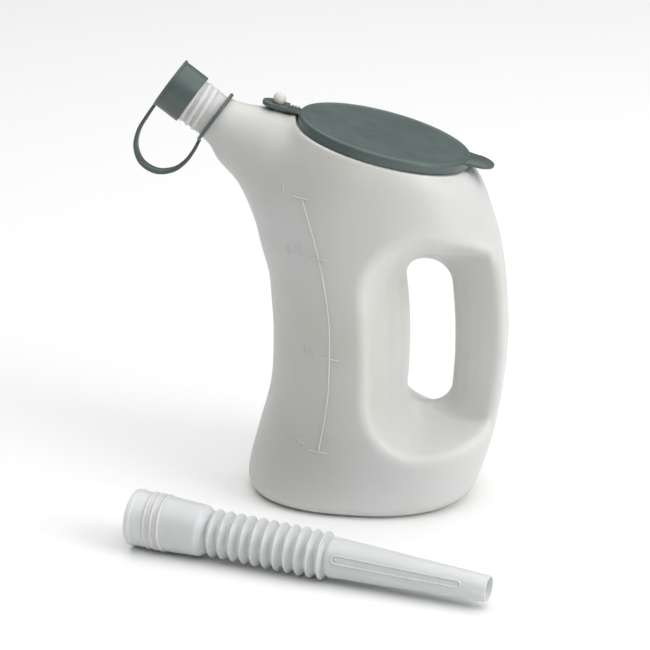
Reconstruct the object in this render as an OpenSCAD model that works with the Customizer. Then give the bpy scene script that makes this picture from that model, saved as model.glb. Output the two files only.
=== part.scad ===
// Lidded one-litre measuring and pouring jug with a moulded-in handle, a capped
// outlet neck and a loose corrugated spout that screws onto the neck.
// Millimetres, +Z up. The origin is the middle of the jug's flat base; the outlet
// points towards -X, the handle is on the +X side.

/* [Jug] */
// Wall thickness of the blown jug
wall = 1.6; // [1.2:0.1:2.2]
// Radius of the rounded edge around the base
base_round = 8; // [5:1:10]
// Height that the graduation stands proud of the wall
scale_proud = 0.4; // [0.2:0.1:0.8]
// Width of the raised graduation strokes
scale_line = 0.8; // [0.6:0.1:1.2]

/* [Mouth and lid] */
// Angle by which the mouth and the lid slope down towards the handle
lid_tilt = 14; // [10:1:16]
// Half length of the oval lid
lid_a = 43.5; // [42.5:0.5:44]
// Half width of the oval lid
lid_b = 39.5; // [38.5:0.5:40]
// Height of the lid's skirt
skirt_h = 5.4; // [5:0.1:5.6]
// Wall thickness of the skirt
skirt_wall = 1.3; // [1.1:0.1:1.4]
// Thickness of the lid's top
lid_top = 1.8; // [1.4:0.1:1.9]
// Width of the thumb tab
tab_w = 19; // [15:1:22]
// How far the thumb tab reaches past the lid's edge
tab_reach = 12; // [10:1:14]
// Width of the strap that holds the lid
strap_w = 10.5; // [9:0.5:12]
// Thickness of the strap
strap_t = 2.2; // [1.8:0.1:2.4]
// Diameter of the ball head of the stud that the strap buttons onto
stud_ball_d = 6.4; // [6:0.2:7]

/* [Outlet neck and cap] */
// Angle of the outlet neck above the horizontal
neck_angle = 36.5; // [35:0.5:38]
// Outer radius of the neck's plain wall
neck_r = 11.4; // [11.3:0.1:11.5]
// Inner radius of the neck
neck_bore_r = 9.9; // [9.5:0.1:10]
// Crest radius of the neck's thread beads
bead_r = 12; // [11.8:0.1:12]
// Distance from one thread bead to the next
bead_pitch = 3.7; // [3.4:0.1:4]
// Outer radius of the cap
cap_r = 13.2; // [13:0.1:13.4]
// Length of the cap
cap_l = 14.2; // [13.5:0.1:14.5]

/* [Loose spout] */
// Inner radius of the collar that goes over the neck
socket_r = 12.3; // [12.2:0.1:12.4]
// Number of bellows ridges
ridges = 11; // [9:1:11]
// Distance from one ridge to the next
ridge_pitch = 5.65; // [5.4:0.05:5.7]
// Crest radius of the ridges
ridge_r = 11.7; // [11.4:0.1:11.8]
// Radius at the bottom of the grooves
groove_r = 8.8; // [8.7:0.1:9.2]
// Outer radius at the nozzle's tip
tip_r = 6.3; // [6.1:0.05:6.5]

/* [Hidden] */
$fn = 72;

hdpe = [0.84, 0.84, 0.81];
dark = [0.28, 0.33, 0.32];
clear_pe = [0.76, 0.80, 0.82];

// Slices through the jug: x and z of the outlet-side end, x and z of the handle-side
// end, and half the width along Y. The last one is the mouth's plane.
jug_slices = [
    [-57, 0, 57, 0, 44],
    [-56.5, 14, 63, 14, 45],
    [-51.5, 34, 69.5, 37, 45],
    [-45, 59.5, 73.5, 63.5, 45],
    [-43.5, 86, 75, 88.5, 45],
    [-44.5, 106.5, 73.5, 112.5, 45],
    [-46, 127.5, 70.5, 133.5, 45],
    [-46, 146.5, 65.5, 151, 44.5],
    [-43.5, 165.5, 61, 163, 44],
    [-39, 181.5, 57.5, 169, 43],
    [-31.5, 194.5, 53, 173.5, 40]
];
// The same for the shoulder that narrows from the jug into the outlet neck
horn_slices = [
    [-40.5, 116, 9.5, 175, 35.5],
    [-48, 128.5, -8, 189, 34],
    [-53.5, 145.5, -25.5, 194.5, 26],
    [-61, 161.5, -41, 199, 19],
    [-70.5, 172, -54, 200.5, 14.5],
    [-74.5, 179, -59.5, 201.5, 13],
    [-77.3, 183.8, -63.6, 202.1, 11.5]
];
jug_squareness = 2.3;
horn_squareness = 2;

// The finger hole and the hollow around it. Each row: distance from the middle plane,
// the opening's x and z limits there, and its corner radius.
grip_rows = [
    [2, 25.5, 48.5, 49, 126.5, 11],
    [4.3, 25, 49.3, 48.5, 127, 11.5],
    [6.8, 24, 52, 47.5, 128, 12.5],
    [8.8, 23, 57, 46.5, 129, 14],
    [10.5, 22, 64.5, 45.5, 130.5, 16],
    [12, 21.5, 76, 44.5, 132, 18],
    [22, 17, 105, 40, 138, 24],
    [48, 8, 125, 31, 151, 35]
];
grip_mid_z = 88;
grip_bow = 3;
grip_lean = 0.02;

// Middle of the lid's top face
lid_at = [12.2, 0, 189.5];
// Where the neck's axis passes through the middle of the tether ring
neck_at = [-72.7, 0, 194];
neck_start = -4;
neck_overlap = 8;
neck_end = 26;
cap_end = 28.2;
ring_r = 14.3;
ring_bore_r = 12.3;
ring_t = 1.8;

// The collar around the mouth stands clear of the skirt as the lid swings up.
rim_shift = 0.5;
rim_a = 41.3;
rim_b = 37.7;
rim_top = -2.3;

shoulder_h = -5.7;
lid_clear = 0.6;
mouth_depth = 14;

// The strap, the web of its film hinge and the stud, along the lid frame's X
strap_end_u = -62.5;
stud_u = -54.6;
strap_near_u = -49.2;
web_h = -2.2;
web_l = 5.3;
stud_stem_r = 2;
stud_stem_from = -5.2;
stud_ball_h = 1.9;
strap_hole_r = 2.5;

// Mouth of the loose spout, and the way the spout points
spout_at = [-98.7, -84.5, 14.1];
spout_turn = 14;
spout_dip = 1.3;
collar_l = 41;
first_ridge = 43.6;
bellows_end = first_ridge + (ridges - 1) * ridge_pitch + 2.4;
spout_l = 181.5;
spout_wall = 0.85;

// How far a cutting shape runs past the face that it cuts
past = 1;

// ---- curves and lofts ----

// Point at parameter t, 0 to 1, on the Catmull-Rom curve from b to c
function curve(a, b, c, d, t) =
    0.5 * (2 * b + (c - a) * t + (2 * a - 5 * b + 4 * c - d) * t * t
           + (3 * b - a - 3 * c + d) * t * t * t);

// Row of a table at a fractional index
function row_at(table, s) =
    let (n = len(table),
         i = max(min(floor(s), n - 2), 0),
         b = table[i],
         c = table[i + 1],
         a = i > 0 ? table[i - 1] : 2 * b - c,
         d = i < n - 2 ? table[i + 2] : 2 * c - b)
    curve(a, b, c, d, s - i);

function power(v, p) = sign(v) * pow(abs(v), p);

// One ring of points: an oval slice with its ends in the XZ plane, shrunk by inset
function slice_ring(row, squareness, inset, sides) =
    let (front = [row[0], 0, row[1]],
         back = [row[2], 0, row[3]],
         middle = (front + back) / 2,
         half = (back - front) / 2,
         reach = half * (norm(half) - inset) / norm(half),
         width = row[4] - inset)
    [for (k = [0:sides - 1])
        let (t = 360 * k / sides)
        middle + power(cos(t), 2 / squareness) * reach
            + [0, width * power(sin(t), 2 / squareness), 0]];

// Closed solid through a list of rings with the same number of points
module skin(rings) {
    sides = len(rings[0]);
    count = len(rings);
    points = [for (ring = rings) each ring];
    walls = [for (i = [0:count - 2], k = [0:sides - 1])
        let (j = (k + 1) % sides)
        each [[i * sides + k, (i + 1) * sides + k, (i + 1) * sides + j],
              [i * sides + k, (i + 1) * sides + j, i * sides + j]]];
    caps = [[for (k = [0:sides - 1]) k],
            [for (k = [sides - 1:-1:0]) (count - 1) * sides + k]];
    polyhedron(points, concat(walls, caps), convexity = 8);
}

// Index at which the jug's slices pass the height z on the outlet side
function base_index(z) = z / jug_slices[1][1];

// Rings of the jug's outer shape, or of its inside when inset is the wall
function jug_rings(inset, sides = 44) =
    let (edge = max(base_round - inset, 2),
         rounded = [for (t = [0:18:72])
            let (rise = edge * (1 - cos(t)),
                 row = row_at(jug_slices, base_index(inset + rise)))
            slice_ring([row[0], inset + rise, row[2], inset + rise, row[4]],
                       jug_squareness, inset + edge * (1 - sin(t)), sides)],
         first = base_index(inset + edge),
         last = len(jug_slices) - 1,
         steps = 20)
    concat(rounded,
           [for (i = [0:steps])
               slice_ring(row_at(jug_slices, first + (last - first) * i / steps),
                          jug_squareness, inset, sides)]);

function horn_rings(inset, sides = 36) =
    let (last = len(horn_slices) - 1, steps = 12)
    [for (i = [0:steps])
        slice_ring(row_at(horn_slices, last * i / steps), horn_squareness, inset, sides)];

// Outline of the finger hole or of its hollow, grown by grow, at the distance y
function grip_ring(row, y, grow, corner_steps = 5) =
    let (x0 = row[1] - grow,
         x1 = row[2] + grow,
         z0 = row[3] - grow,
         z1 = row[4] + grow,
         r = row[5] + grow,
         middle = (z0 + z1) / 2,
         corners = [[x1 - r, z1 - r, 0], [x0 + r, z1 - r, 90],
                    [x0 + r, z0 + r, 180], [x1 - r, z0 + r, 270]])
    [for (c = corners, k = [0:corner_steps])
        let (t = c[2] + 90 * k / corner_steps,
             x = c[0] + r * cos(t),
             z = c[1] + r * sin(t),
             q = (z - middle) / (z1 - middle))
        [x - grip_bow * q * q - grip_lean * (z - grip_mid_z), y, z]];

// The space of the finger hole and the hollows on both sides, grown by grow
module grip_space(grow) {
    far = [for (i = [len(grip_rows) - 1:-1:0])
        grip_ring(grip_rows[i], grip_rows[i][0] - grow, grow)];
    near = [for (row = grip_rows) grip_ring(row, grow - row[0], grow)];
    skin(concat(far, near));
}

// The jug's outer shape, or its inside when inset is the wall
module jug_shape(inset) {
    skin(jug_rings(inset));
    skin(horn_rings(inset));
}

// ---- frames ----

// Lid frame: X along the slope towards the thumb tab, Z out of the lid's top
module lid_frame() {
    translate(lid_at) rotate([0, lid_tilt, 0]) children();
}

// Neck frame: Z out of the outlet, from the tether ring's middle plane
module neck_frame() {
    translate(neck_at) rotate([0, neck_angle - 90, 0]) children();
}

// Spout frame: Z along the spout, from the collar's mouth to the tip
module spout_frame() {
    translate(spout_at) rotate([0, 0, -spout_turn]) rotate([0, 90 + spout_dip, 0]) children();
}

module oval(a, b, h) {
    scale([1, b / a, 1]) cylinder(r = a, h = h);
}

// ---- jug ----

// The graduation's curved line, as x and z seen from the side, and its ticks
scale_curve = [[-23.7, 165.7], [-15, 136.5], [-10.5, 111], [-9.5, 92], [-10.5, 64], [-15, 36]];
scale_ticks = [[-29, -20.5, 165.5], [-20.5, -10.5, 136.5], [-14, -5, 85.5], [-20, -10.5, 36]];

module stroke(from, to) {
    hull() {
        translate([from[0], -30, from[1]]) rotate([90, 0, 0]) cylinder(d = scale_line, h = 25, $fn = 8);
        translate([to[0], -30, to[1]]) rotate([90, 0, 0]) cylinder(d = scale_line, h = 25, $fn = 8);
    }
}

module graduation() {
    steps = 8;
    last = len(scale_curve) - 1;
    intersection() {
        skin(jug_rings(-scale_proud));
        union() {
            for (i = [0:steps - 1])
                stroke(row_at(scale_curve, last * i / steps), row_at(scale_curve, last * (i + 1) / steps));
            for (t = scale_ticks)
                stroke([t[0], t[2]], [t[1], t[2] + 0.5]);
        }
    }
}

// The space under and around the lid, from the height h up
module under_lid(h, grow) {
    lid_frame() translate([0, 0, h]) oval(lid_a + grow, lid_b + grow, 20);
}

module stud_stem() {
    lid_frame() translate([stud_u, 0, stud_stem_from])
        cylinder(r = stud_stem_r, h = stud_ball_h - stud_stem_from);
}

// The hollow of the jug, its shoulder and its mouth
module jug_inside() {
    difference() {
        jug_shape(wall);
        under_lid(shoulder_h - wall, lid_clear + wall);
    }
    lid_frame() translate([rim_shift, 0, -mouth_depth])
        oval(rim_a - wall, rim_b - wall, mouth_depth + rim_top + past);
    neck_frame() translate([0, 0, neck_start - neck_overlap])
        cylinder(r = neck_bore_r, h = neck_overlap + past);
}

module jug_body() {
    color(hdpe) difference() {
        union() {
            difference() {
                jug_shape(0);
                under_lid(shoulder_h, lid_clear);
            }
            graduation();
            lid_frame() translate([rim_shift, 0, shoulder_h - past])
                oval(rim_a, rim_b, rim_top - shoulder_h + past);
        }
        difference() {
            jug_inside();
            grip_space(wall);
        }
        grip_space(0);
        neck_frame() translate([0, 0, neck_start]) cylinder(r = neck_r, h = neck_end);
        stud_stem();
    }
}

module spout_neck() {
    first_bead = 3.5;
    last_bead = 21;
    foot = 1.15;
    crest = 0.4;
    root = 0.5;
    color(hdpe) neck_frame() difference() {
        union() {
            translate([0, 0, neck_start]) cylinder(r = neck_r, h = neck_end - neck_start);
            for (z = [first_bead:bead_pitch:last_bead])
                translate([0, 0, z]) rotate_extrude()
                    polygon([[neck_r - root, -foot], [neck_r, -foot], [bead_r, -crest],
                             [bead_r, crest], [neck_r, foot], [neck_r - root, foot]]);
        }
        translate([0, 0, neck_start - past])
            cylinder(r = neck_bore_r, h = neck_end - neck_start + 2 * past);
    }
}

module lid_stud() {
    color(hdpe) {
        stud_stem();
        lid_frame() translate([stud_u, 0, stud_ball_h]) sphere(d = stud_ball_d, $fn = 48);
    }
}

// ---- lid moulding ----

module lid_strap() {
    round_u = strap_end_u + strap_w / 2;
    strap_top = -0.3;
    color(dark) lid_frame() translate([0, 0, strap_top - strap_t]) linear_extrude(strap_t) difference() {
        union() {
            translate([round_u, 0]) circle(d = strap_w);
            translate([round_u, -strap_w / 2]) square([strap_near_u - round_u, strap_w]);
        }
        translate([stud_u, 0]) circle(r = strap_hole_r);
    }
}

// Thin ribbed web between the strap and the lid, on which the lid swings
module lid_film_hinge() {
    web_t = 0.9;
    web_w = strap_w - 1;
    rib_r = 0.5;
    color(dark) lid_frame() translate([strap_near_u, web_w / 2, web_h]) {
        translate([0, -web_w, 0]) cube([web_l, web_w, web_t]);
        for (u = [1.4, 2.9, 4.3])
            translate([u, 0, web_t]) rotate([90, 0, 0]) cylinder(r = rib_r, h = web_w);
    }
}

module lid() {
    edge_h = 1;
    edge_in = 0.8;
    rim_line = 1.6;
    recess = 0.35;
    tab_t = 1.5;
    tab_h = -2.3;
    tab_root = 6;
    gate_r = 0.8;
    gate_u = 1.5;
    color(dark) lid_frame() {
        difference() {
            union() {
                translate([0, 0, -skirt_h]) oval(lid_a, lid_b, skirt_h - edge_h);
                translate([0, 0, -edge_h]) oval(lid_a - edge_in, lid_b - edge_in, edge_h);
            }
            translate([0, 0, -recess])
                oval(lid_a - edge_in - rim_line, lid_b - edge_in - rim_line, edge_h);
            translate([0, 0, -skirt_h - past])
                oval(lid_a - skirt_wall, lid_b - skirt_wall, skirt_h - lid_top + past);
        }
        difference() {
            translate([0, 0, tab_h]) linear_extrude(tab_t) hull() {
                translate([lid_a + tab_reach - tab_w / 2, 0]) circle(d = tab_w);
                translate([lid_a - tab_root, 0]) square([2, tab_w + 2], center = true);
            }
            translate([0, 0, -skirt_h - past]) oval(lid_a - past, lid_b - past, skirt_h + 2 * past);
        }
        translate([gate_u, 0, -edge_in]) cylinder(r = gate_r, h = edge_in + 0.3);
    }
}

// ---- cap, tether and ring: one moulding ----

module tether_ring() {
    color(dark) neck_frame() difference() {
        translate([0, 0, -ring_t / 2]) cylinder(r = ring_r, h = ring_t);
        translate([0, 0, -ring_t / 2 - past]) cylinder(r = ring_bore_r, h = ring_t + 2 * past);
    }
}

// Middle line of the tether as x and z, with its width along Y and its thickness
tether_rows = [
    [-103.4, 198.7, 2.2, 1.7], [-107, 193.5, 2.8, 1.8], [-111.5, 186, 4.2, 2],
    [-113.3, 177.5, 5.2, 2.2], [-110.5, 169.5, 5.8, 2.4], [-103, 165.2, 6, 2.4],
    [-94.5, 166.2, 5.4, 2.3], [-88.4, 170.5, 4.4, 2], [-84.2, 176, 3.2, 1.8],
    [-80.9, 182, 2.4, 1.7]
];

module cap_tether() {
    last = len(tether_rows) - 1;
    steps = 36;
    near = 0.02;
    rings = [for (i = [0:steps])
        let (s = last * i / steps,
             here = row_at(tether_rows, s),
             ahead = row_at(tether_rows, min(s + near, last)),
             behind = row_at(tether_rows, max(s - near, 0)),
             along = [ahead[0] - behind[0], 0, ahead[1] - behind[1]],
             across = [-along[2], 0, along[0]] / norm(along) * here[3] / 2,
             side = [0, here[2] / 2, 0],
             point = [here[0], 0, here[1]])
        [point + across + side, point + across - side, point - across - side,
         point - across + side]];
    color(dark) skin(rings);
}

module spout_cap() {
    flange_t = 1.3;
    flange_out = 0.5;
    side_t = 0.95;
    end_t = 1.6;
    mouth = cap_end - cap_l;
    color(dark) neck_frame() difference() {
        union() {
            translate([0, 0, mouth]) cylinder(r = cap_r, h = cap_l);
            translate([0, 0, cap_end - flange_t]) cylinder(r = cap_r + flange_out, h = flange_t);
        }
        translate([0, 0, mouth - past]) cylinder(r = cap_r - side_t, h = cap_l + past - end_t);
    }
}

// ---- loose spout: one blow moulding ----

module spout_collar() {
    rim_r = 14.1;
    rim_l = 2.2;
    wall_r = 13.6;
    bead_out = 0.4;
    bead_half = 0.8;
    bead_flat = 0.2;
    socket_l = 24;
    taper_from = 18;
    shoulder_r = 12.5;
    throat_r = 10.2;
    thick = 0.95;
    beads = [for (z = [10.8:2.5:15.8])
        each [[wall_r, z - bead_half], [wall_r + bead_out, z - bead_flat],
              [wall_r + bead_out, z + bead_flat], [wall_r, z + bead_half]]];
    outside = concat([[socket_r, 0], [rim_r, 0], [rim_r, rim_l], [wall_r, rim_l + 0.6]], beads,
                     [[wall_r - 0.1, taper_from], [shoulder_r, collar_l - 4.5],
                      [shoulder_r - 0.3, collar_l - 3.6], [throat_r, collar_l - 0.9],
                      [groove_r, collar_l]]);
    inside = [[groove_r - spout_wall, collar_l], [throat_r - thick, collar_l - 1.5],
              [shoulder_r - thick - 0.2, collar_l - 4.5], [socket_r, socket_l]];
    color(clear_pe) spout_frame() rotate_extrude() polygon(concat(outside, inside));
}

module spout_bellows() {
    half = ridge_pitch / 2;
    crest = 0.25;
    root = 0.35;
    step = 0.1;
    end = bellows_end - 0.3;
    outer = [for (i = [0:ridges - 1])
        let (z = first_ridge + i * ridge_pitch)
        each [[groove_r + step, z - half + root], [ridge_r, z - crest], [ridge_r, z + crest],
              [groove_r + step, z + half - root]]];
    inner = [for (i = [ridges - 1:-1:0])
        let (z = first_ridge + i * ridge_pitch)
        each [[groove_r - spout_wall, z + half - root - 0.2], [ridge_r - spout_wall, z + 0.2],
              [ridge_r - spout_wall, z - 0.2], [groove_r - spout_wall, z - half + root + 0.2]]];
    color(clear_pe) spout_frame() rotate_extrude()
        polygon(concat([[groove_r, collar_l]], outer, [[groove_r, end]],
                       [[groove_r - spout_wall, end]], inner,
                       [[groove_r - spout_wall, collar_l]]));
}

module spout_nozzle() {
    start = bellows_end;
    shoulder_r = 9.8;
    rib_from = start + 5;
    rib_to = start + 66;
    rib_r = 0.6;
    rib_turn = 69;
    rib_corners = [[-9.2, 2, rib_from], [-9.2, -2, rib_from],
                   [-6.55, -1.55, rib_to], [-6.55, 1.55, rib_to]];
    outside = [[0, start], [groove_r, start], [shoulder_r, start + 1.4],
               [shoulder_r - 0.2, start + 4], [tip_r, spout_l], [0, spout_l]];
    inside = [[0, start - past], [groove_r - spout_wall, start - past],
              [groove_r - spout_wall, start + 0.4], [shoulder_r - 1.3, start + 3],
              [tip_r - spout_wall, spout_l + 0.1], [0, spout_l + 0.1]];
    color(clear_pe) spout_frame() difference() {
        union() {
            rotate_extrude() polygon(outside);
            rotate([0, 0, rib_turn]) for (i = [0:3]) hull() {
                translate(rib_corners[i]) sphere(r = rib_r, $fn = 16);
                translate(rib_corners[(i + 1) % 4]) sphere(r = rib_r, $fn = 16);
            }
        }
        rotate_extrude() polygon(inside);
    }
}

jug_body();
spout_neck();
lid_stud();
lid_strap();
lid_film_hinge();
lid();
tether_ring();
cap_tether();
spout_cap();
spout_collar();
spout_bellows();
spout_nozzle();
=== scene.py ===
"""Looks of the one-litre pouring jug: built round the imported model, in its frame.

Shapes are worked out in millimetres with numbers repeated from the CAD source, and
turned into metres when a mesh is made."""

import functools
import math

import bmesh
import bpy
import numpy as np
from mathutils import Matrix, Vector
from mathutils.bvhtree import BVHTree


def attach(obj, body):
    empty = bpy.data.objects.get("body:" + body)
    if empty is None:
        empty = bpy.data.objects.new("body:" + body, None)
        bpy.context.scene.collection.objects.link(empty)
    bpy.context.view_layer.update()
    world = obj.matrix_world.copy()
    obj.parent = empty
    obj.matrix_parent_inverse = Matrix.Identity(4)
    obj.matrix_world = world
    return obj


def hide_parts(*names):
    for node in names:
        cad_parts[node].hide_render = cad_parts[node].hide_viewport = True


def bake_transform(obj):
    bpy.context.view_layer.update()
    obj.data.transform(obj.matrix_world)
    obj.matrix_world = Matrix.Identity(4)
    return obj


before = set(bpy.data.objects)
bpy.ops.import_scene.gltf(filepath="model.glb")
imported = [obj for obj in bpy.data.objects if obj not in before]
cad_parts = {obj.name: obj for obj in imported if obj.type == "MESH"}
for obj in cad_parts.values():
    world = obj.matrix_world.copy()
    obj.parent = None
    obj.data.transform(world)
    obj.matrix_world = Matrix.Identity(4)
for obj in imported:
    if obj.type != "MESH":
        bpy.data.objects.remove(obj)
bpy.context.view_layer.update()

MM = 0.001

# ---- sizes repeated from the CAD source, in millimetres ----

WALL = 1.6
BASE_ROUND = 8.0
# Slices through the jug: x and z of the outlet-side end, of the handle-side end, half width
JUG_SLICES = [
    (-57, 0, 57, 0, 44),
    (-56.5, 14, 63, 14, 45),
    (-51.5, 34, 69.5, 37, 45),
    (-45, 59.5, 73.5, 63.5, 45),
    (-43.5, 86, 75, 88.5, 45),
    (-44.5, 106.5, 73.5, 112.5, 45),
    (-46, 127.5, 70.5, 133.5, 45),
    (-46, 146.5, 65.5, 151, 44.5),
    (-43.5, 165.5, 61, 163, 44),
    (-39, 181.5, 57.5, 169, 43),
    (-31.5, 194.5, 53, 173.5, 40),
]
HORN_SLICES = [
    (-40.5, 116, 9.5, 175, 35.5),
    (-48, 128.5, -8, 189, 34),
    (-53.5, 145.5, -25.5, 194.5, 26),
    (-61, 161.5, -41, 199, 19),
    (-70.5, 172, -54, 200.5, 14.5),
    (-74.5, 179, -59.5, 201.5, 13),
    (-77.3, 183.8, -63.6, 202.1, 11.5),
]
JUG_SQUARENESS = 2.3
HORN_SQUARENESS = 2.0
# The finger hole and its hollow: distance from the middle plane, x and z limits, corner radius
GRIP_ROWS = np.array(
    [
        (2, 25.5, 48.5, 49, 126.5, 11),
        (4.3, 25, 49.3, 48.5, 127, 11.5),
        (6.8, 24, 52, 47.5, 128, 12.5),
        (8.8, 23, 57, 46.5, 129, 14),
        (10.5, 22, 64.5, 45.5, 130.5, 16),
        (12, 21.5, 76, 44.5, 132, 18),
        (22, 17, 105, 40, 138, 24),
        (48, 8, 125, 31, 151, 35),
    ],
    float,
)
GRIP_MID_Z = 88.0
GRIP_BOW = 3.0
GRIP_LEAN = 0.02

LID_AT = (12.2, 0.0, 189.5)
LID_TILT = math.radians(14)
LID_A, LID_B = 43.5, 39.5
SKIRT_H = 5.4
SHOULDER_H = -5.7
LID_CLEAR = 0.6
RIM_SHIFT, RIM_A, RIM_B, RIM_TOP = 0.5, 41.3, 37.7, -2.3
MOUTH_DEPTH = 14.0
TAB_REACH, TAB_HALF = 12.0, 9.5
TAB_CENTRE = LID_A + TAB_REACH - TAB_HALF
# The strap that buttons onto the stud, along the lid's X
STRAP_HALF = 5.25
STRAP_END, STRAP_NEAR, STUD_U = -62.5, -49.2, -54.6
STRAP_TOP, STRAP_T, STRAP_HOLE_R = -0.3, 2.2, 2.5
STUD_BALL_H, STUD_BALL_R, STUD_STEM_R = 1.9, 3.2, 2.0
WEB_HALF, WEB_LOW, WEB_T, WEB_RIB = 4.75, -2.2, 0.9, 0.75

NECK_AT = (-72.7, 0.0, 194.0)
NECK_ANGLE = math.radians(36.5)
NECK_R, NECK_BORE_R, NECK_END = 11.4, 9.9, 26.0
NECK_START, BORE_START = -4.0, -12.0
THREAD_CREST, THREAD_PITCH, THREAD_HALF = 12.0, 3.7, 1.25
CAP_R, CAP_L, CAP_END = 13.2, 14.2, 28.2
CAP_FLANGE, CAP_SIDE, CAP_TOP = 1.3, 0.95, 1.6
RING_R, RING_BORE_R, RING_T = 14.3, 12.3, 1.8
# Tether: x and z of its middle line, width along Y, thickness
TETHER_ROWS = [
    (-103.4, 198.7, 2.2, 1.7),
    (-107, 193.5, 2.8, 1.8),
    (-111.5, 186, 4.2, 2),
    (-113.3, 177.5, 5.2, 2.2),
    (-110.5, 169.5, 5.8, 2.4),
    (-103, 165.2, 6, 2.4),
    (-94.5, 166.2, 5.4, 2.3),
    (-88.4, 170.5, 4.4, 2),
    (-84.2, 176, 3.2, 1.8),
    (-80.9, 182, 2.4, 1.7),
]

SPOUT_AT = (-98.7, -84.5, 14.1)
SPOUT_TURN = math.radians(14)
SPOUT_DIP = math.radians(1.3)
COLLAR_L = 41.0
SOCKET_R = 12.3
RIDGES, FIRST_RIDGE, RIDGE_PITCH = 11, 43.6, 5.65
RIDGE_R, GROOVE_R = 11.7, 8.8
BELLOWS_END = FIRST_RIDGE + (RIDGES - 1) * RIDGE_PITCH + 2.4
SHOULDER_R, TIP_R, SPOUT_L = 9.8, 6.3, 181.5
SPOUT_WALL = 0.85

SCALE_CURVE = [
    (-23.7, 165.7),
    (-15, 136.5),
    (-10.5, 111),
    (-9.5, 92),
    (-10.5, 64),
    (-15, 36),
]
SCALE_TICKS = [
    (-29, -20.5, 165.5),
    (-20.5, -10.5, 136.5),
    (-14, -5, 85.5),
    (-20, -10.5, 36),
]


# ---- frames ----


def turned(origin, axes):
    """A frame from its origin and the directions of its three axes."""
    m = Matrix.Identity(4)
    for i, column in enumerate([*axes, origin]):
        for k in range(3):
            m[k][i] = column[k]
    return m


# Lid: X down the slope towards the thumb tab, Z out of the lid's top
LID = turned(
    LID_AT,
    [
        (math.cos(LID_TILT), 0, -math.sin(LID_TILT)),
        (0, 1, 0),
        (math.sin(LID_TILT), 0, math.cos(LID_TILT)),
    ],
)
# Neck: Z out of the outlet, from the middle of the tether ring
NECK_Z = (-math.cos(NECK_ANGLE), 0, math.sin(NECK_ANGLE))
NECK = turned(NECK_AT, [(math.sin(NECK_ANGLE), 0, math.cos(NECK_ANGLE)), (0, 1, 0), NECK_Z])
# Spout: Z from the collar's mouth to the tip, X down
SPOUT = Matrix.Translation(SPOUT_AT) @ Matrix.Rotation(-SPOUT_TURN, 4, "Z")
SPOUT = SPOUT @ Matrix.Rotation(math.pi / 2 + SPOUT_DIP, 4, "Y")


# ---- curves and meshes ----


def rows_at(table, s):
    """Rows of a table at fractional indices, on the Catmull-Rom curve through them."""
    table = np.asarray(table, float)
    last = len(table) - 1
    s = np.asarray(s, float)
    i = np.clip(np.floor(s).astype(int), 0, last - 1)
    t = (s - i)[..., None]
    b, c = table[i], table[i + 1]
    a = np.where((i > 0)[..., None], table[np.maximum(i - 1, 0)], 2 * b - c)
    d = np.where((i < last - 1)[..., None], table[np.minimum(i + 2, last)], 2 * c - b)
    return 0.5 * (
        2 * b
        + (c - a) * t
        + (2 * a - 5 * b + 4 * c - d) * t**2
        + (3 * b - a - 3 * c + d) * t**3
    )


def rounded(points, radius, steps=4):
    """A closed outline with its corners rounded; radius is one number or one per corner."""
    points = [np.array(p, float) for p in points]
    radii = [radius] * len(points) if np.isscalar(radius) else radius
    out = []
    for k, p in enumerate(points):
        before, after = points[k - 1] - p, points[(k + 1) % len(points)] - p
        la, lb = np.linalg.norm(before), np.linalg.norm(after)
        reach = min(radii[k], 0.48 * la, 0.48 * lb)
        if reach < 0.01:
            out.append(p)
            continue
        a, b = p + before / la * reach, p + after / lb * reach
        for t in np.linspace(0, 1, steps + 1):
            out.append((1 - t) ** 2 * a + 2 * t * (1 - t) * p + t**2 * b)
    return out


def add_object(name, data):
    """An object in the scene, for a mesh, a light or the camera."""
    thing = bpy.data.objects.new(name, data)
    bpy.context.scene.collection.objects.link(thing)
    return thing


def new_piece(name, points, faces, place=None):
    """An object from points in millimetres, in the frame place."""
    mesh = bpy.data.meshes.new(name)
    points = np.asarray(points, float)
    if place is not None:
        m = np.array(place, float)
        points = points @ m[:3, :3].T + m[:3, 3]
    mesh.from_pydata(points * MM, [], faces)
    mesh.validate()
    mesh.shade_smooth()
    return add_object(name, mesh)


def weld(piece, sharp=None):
    """Joins points that meet and turns all faces outwards; sharp is an angle in degrees,
    over which an edge stays sharp."""
    near = 0.004 * MM
    bm = bmesh.new()
    bm.from_mesh(piece.data)
    bmesh.ops.remove_doubles(bm, verts=bm.verts, dist=near)
    bmesh.ops.dissolve_degenerate(bm, edges=bm.edges, dist=near / 4)
    bmesh.ops.recalc_face_normals(bm, faces=bm.faces)
    bm.to_mesh(piece.data)
    bm.free()
    if sharp is not None:
        piece.data.set_sharp_from_angle(angle=math.radians(sharp))
    return piece


def coat(piece, *materials):
    """Gives a piece its materials."""
    for material in materials:
        piece.data.materials.append(material)
    return piece


def ring_faces(rings, sides, closed):
    """Quads between rings of points; closed joins the last ring to the first."""
    i = np.arange(rings if closed else rings - 1)[:, None]
    k = np.arange(sides)[None, :]
    n, j = (i + 1) % rings, (k + 1) % sides
    quads = np.stack([i * sides + k, i * sides + j, n * sides + j, n * sides + k], -1)
    return quads.reshape(-1, 4).tolist()


def lathe(name, profile, place, sides=128, angle=40):
    """A closed profile of (radius, along) points turned round the frame's Z."""
    profile = np.array(profile, float)
    t = np.linspace(0, 2 * math.pi, sides, endpoint=False)
    x = profile[:, :1] * np.cos(t)
    y = profile[:, :1] * np.sin(t)
    z = np.repeat(profile[:, 1:], sides, 1)
    points = np.stack([x, y, z], -1).reshape(-1, 3)
    return weld(new_piece(name, points, ring_faces(len(profile), sides, True), place), angle)


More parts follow.
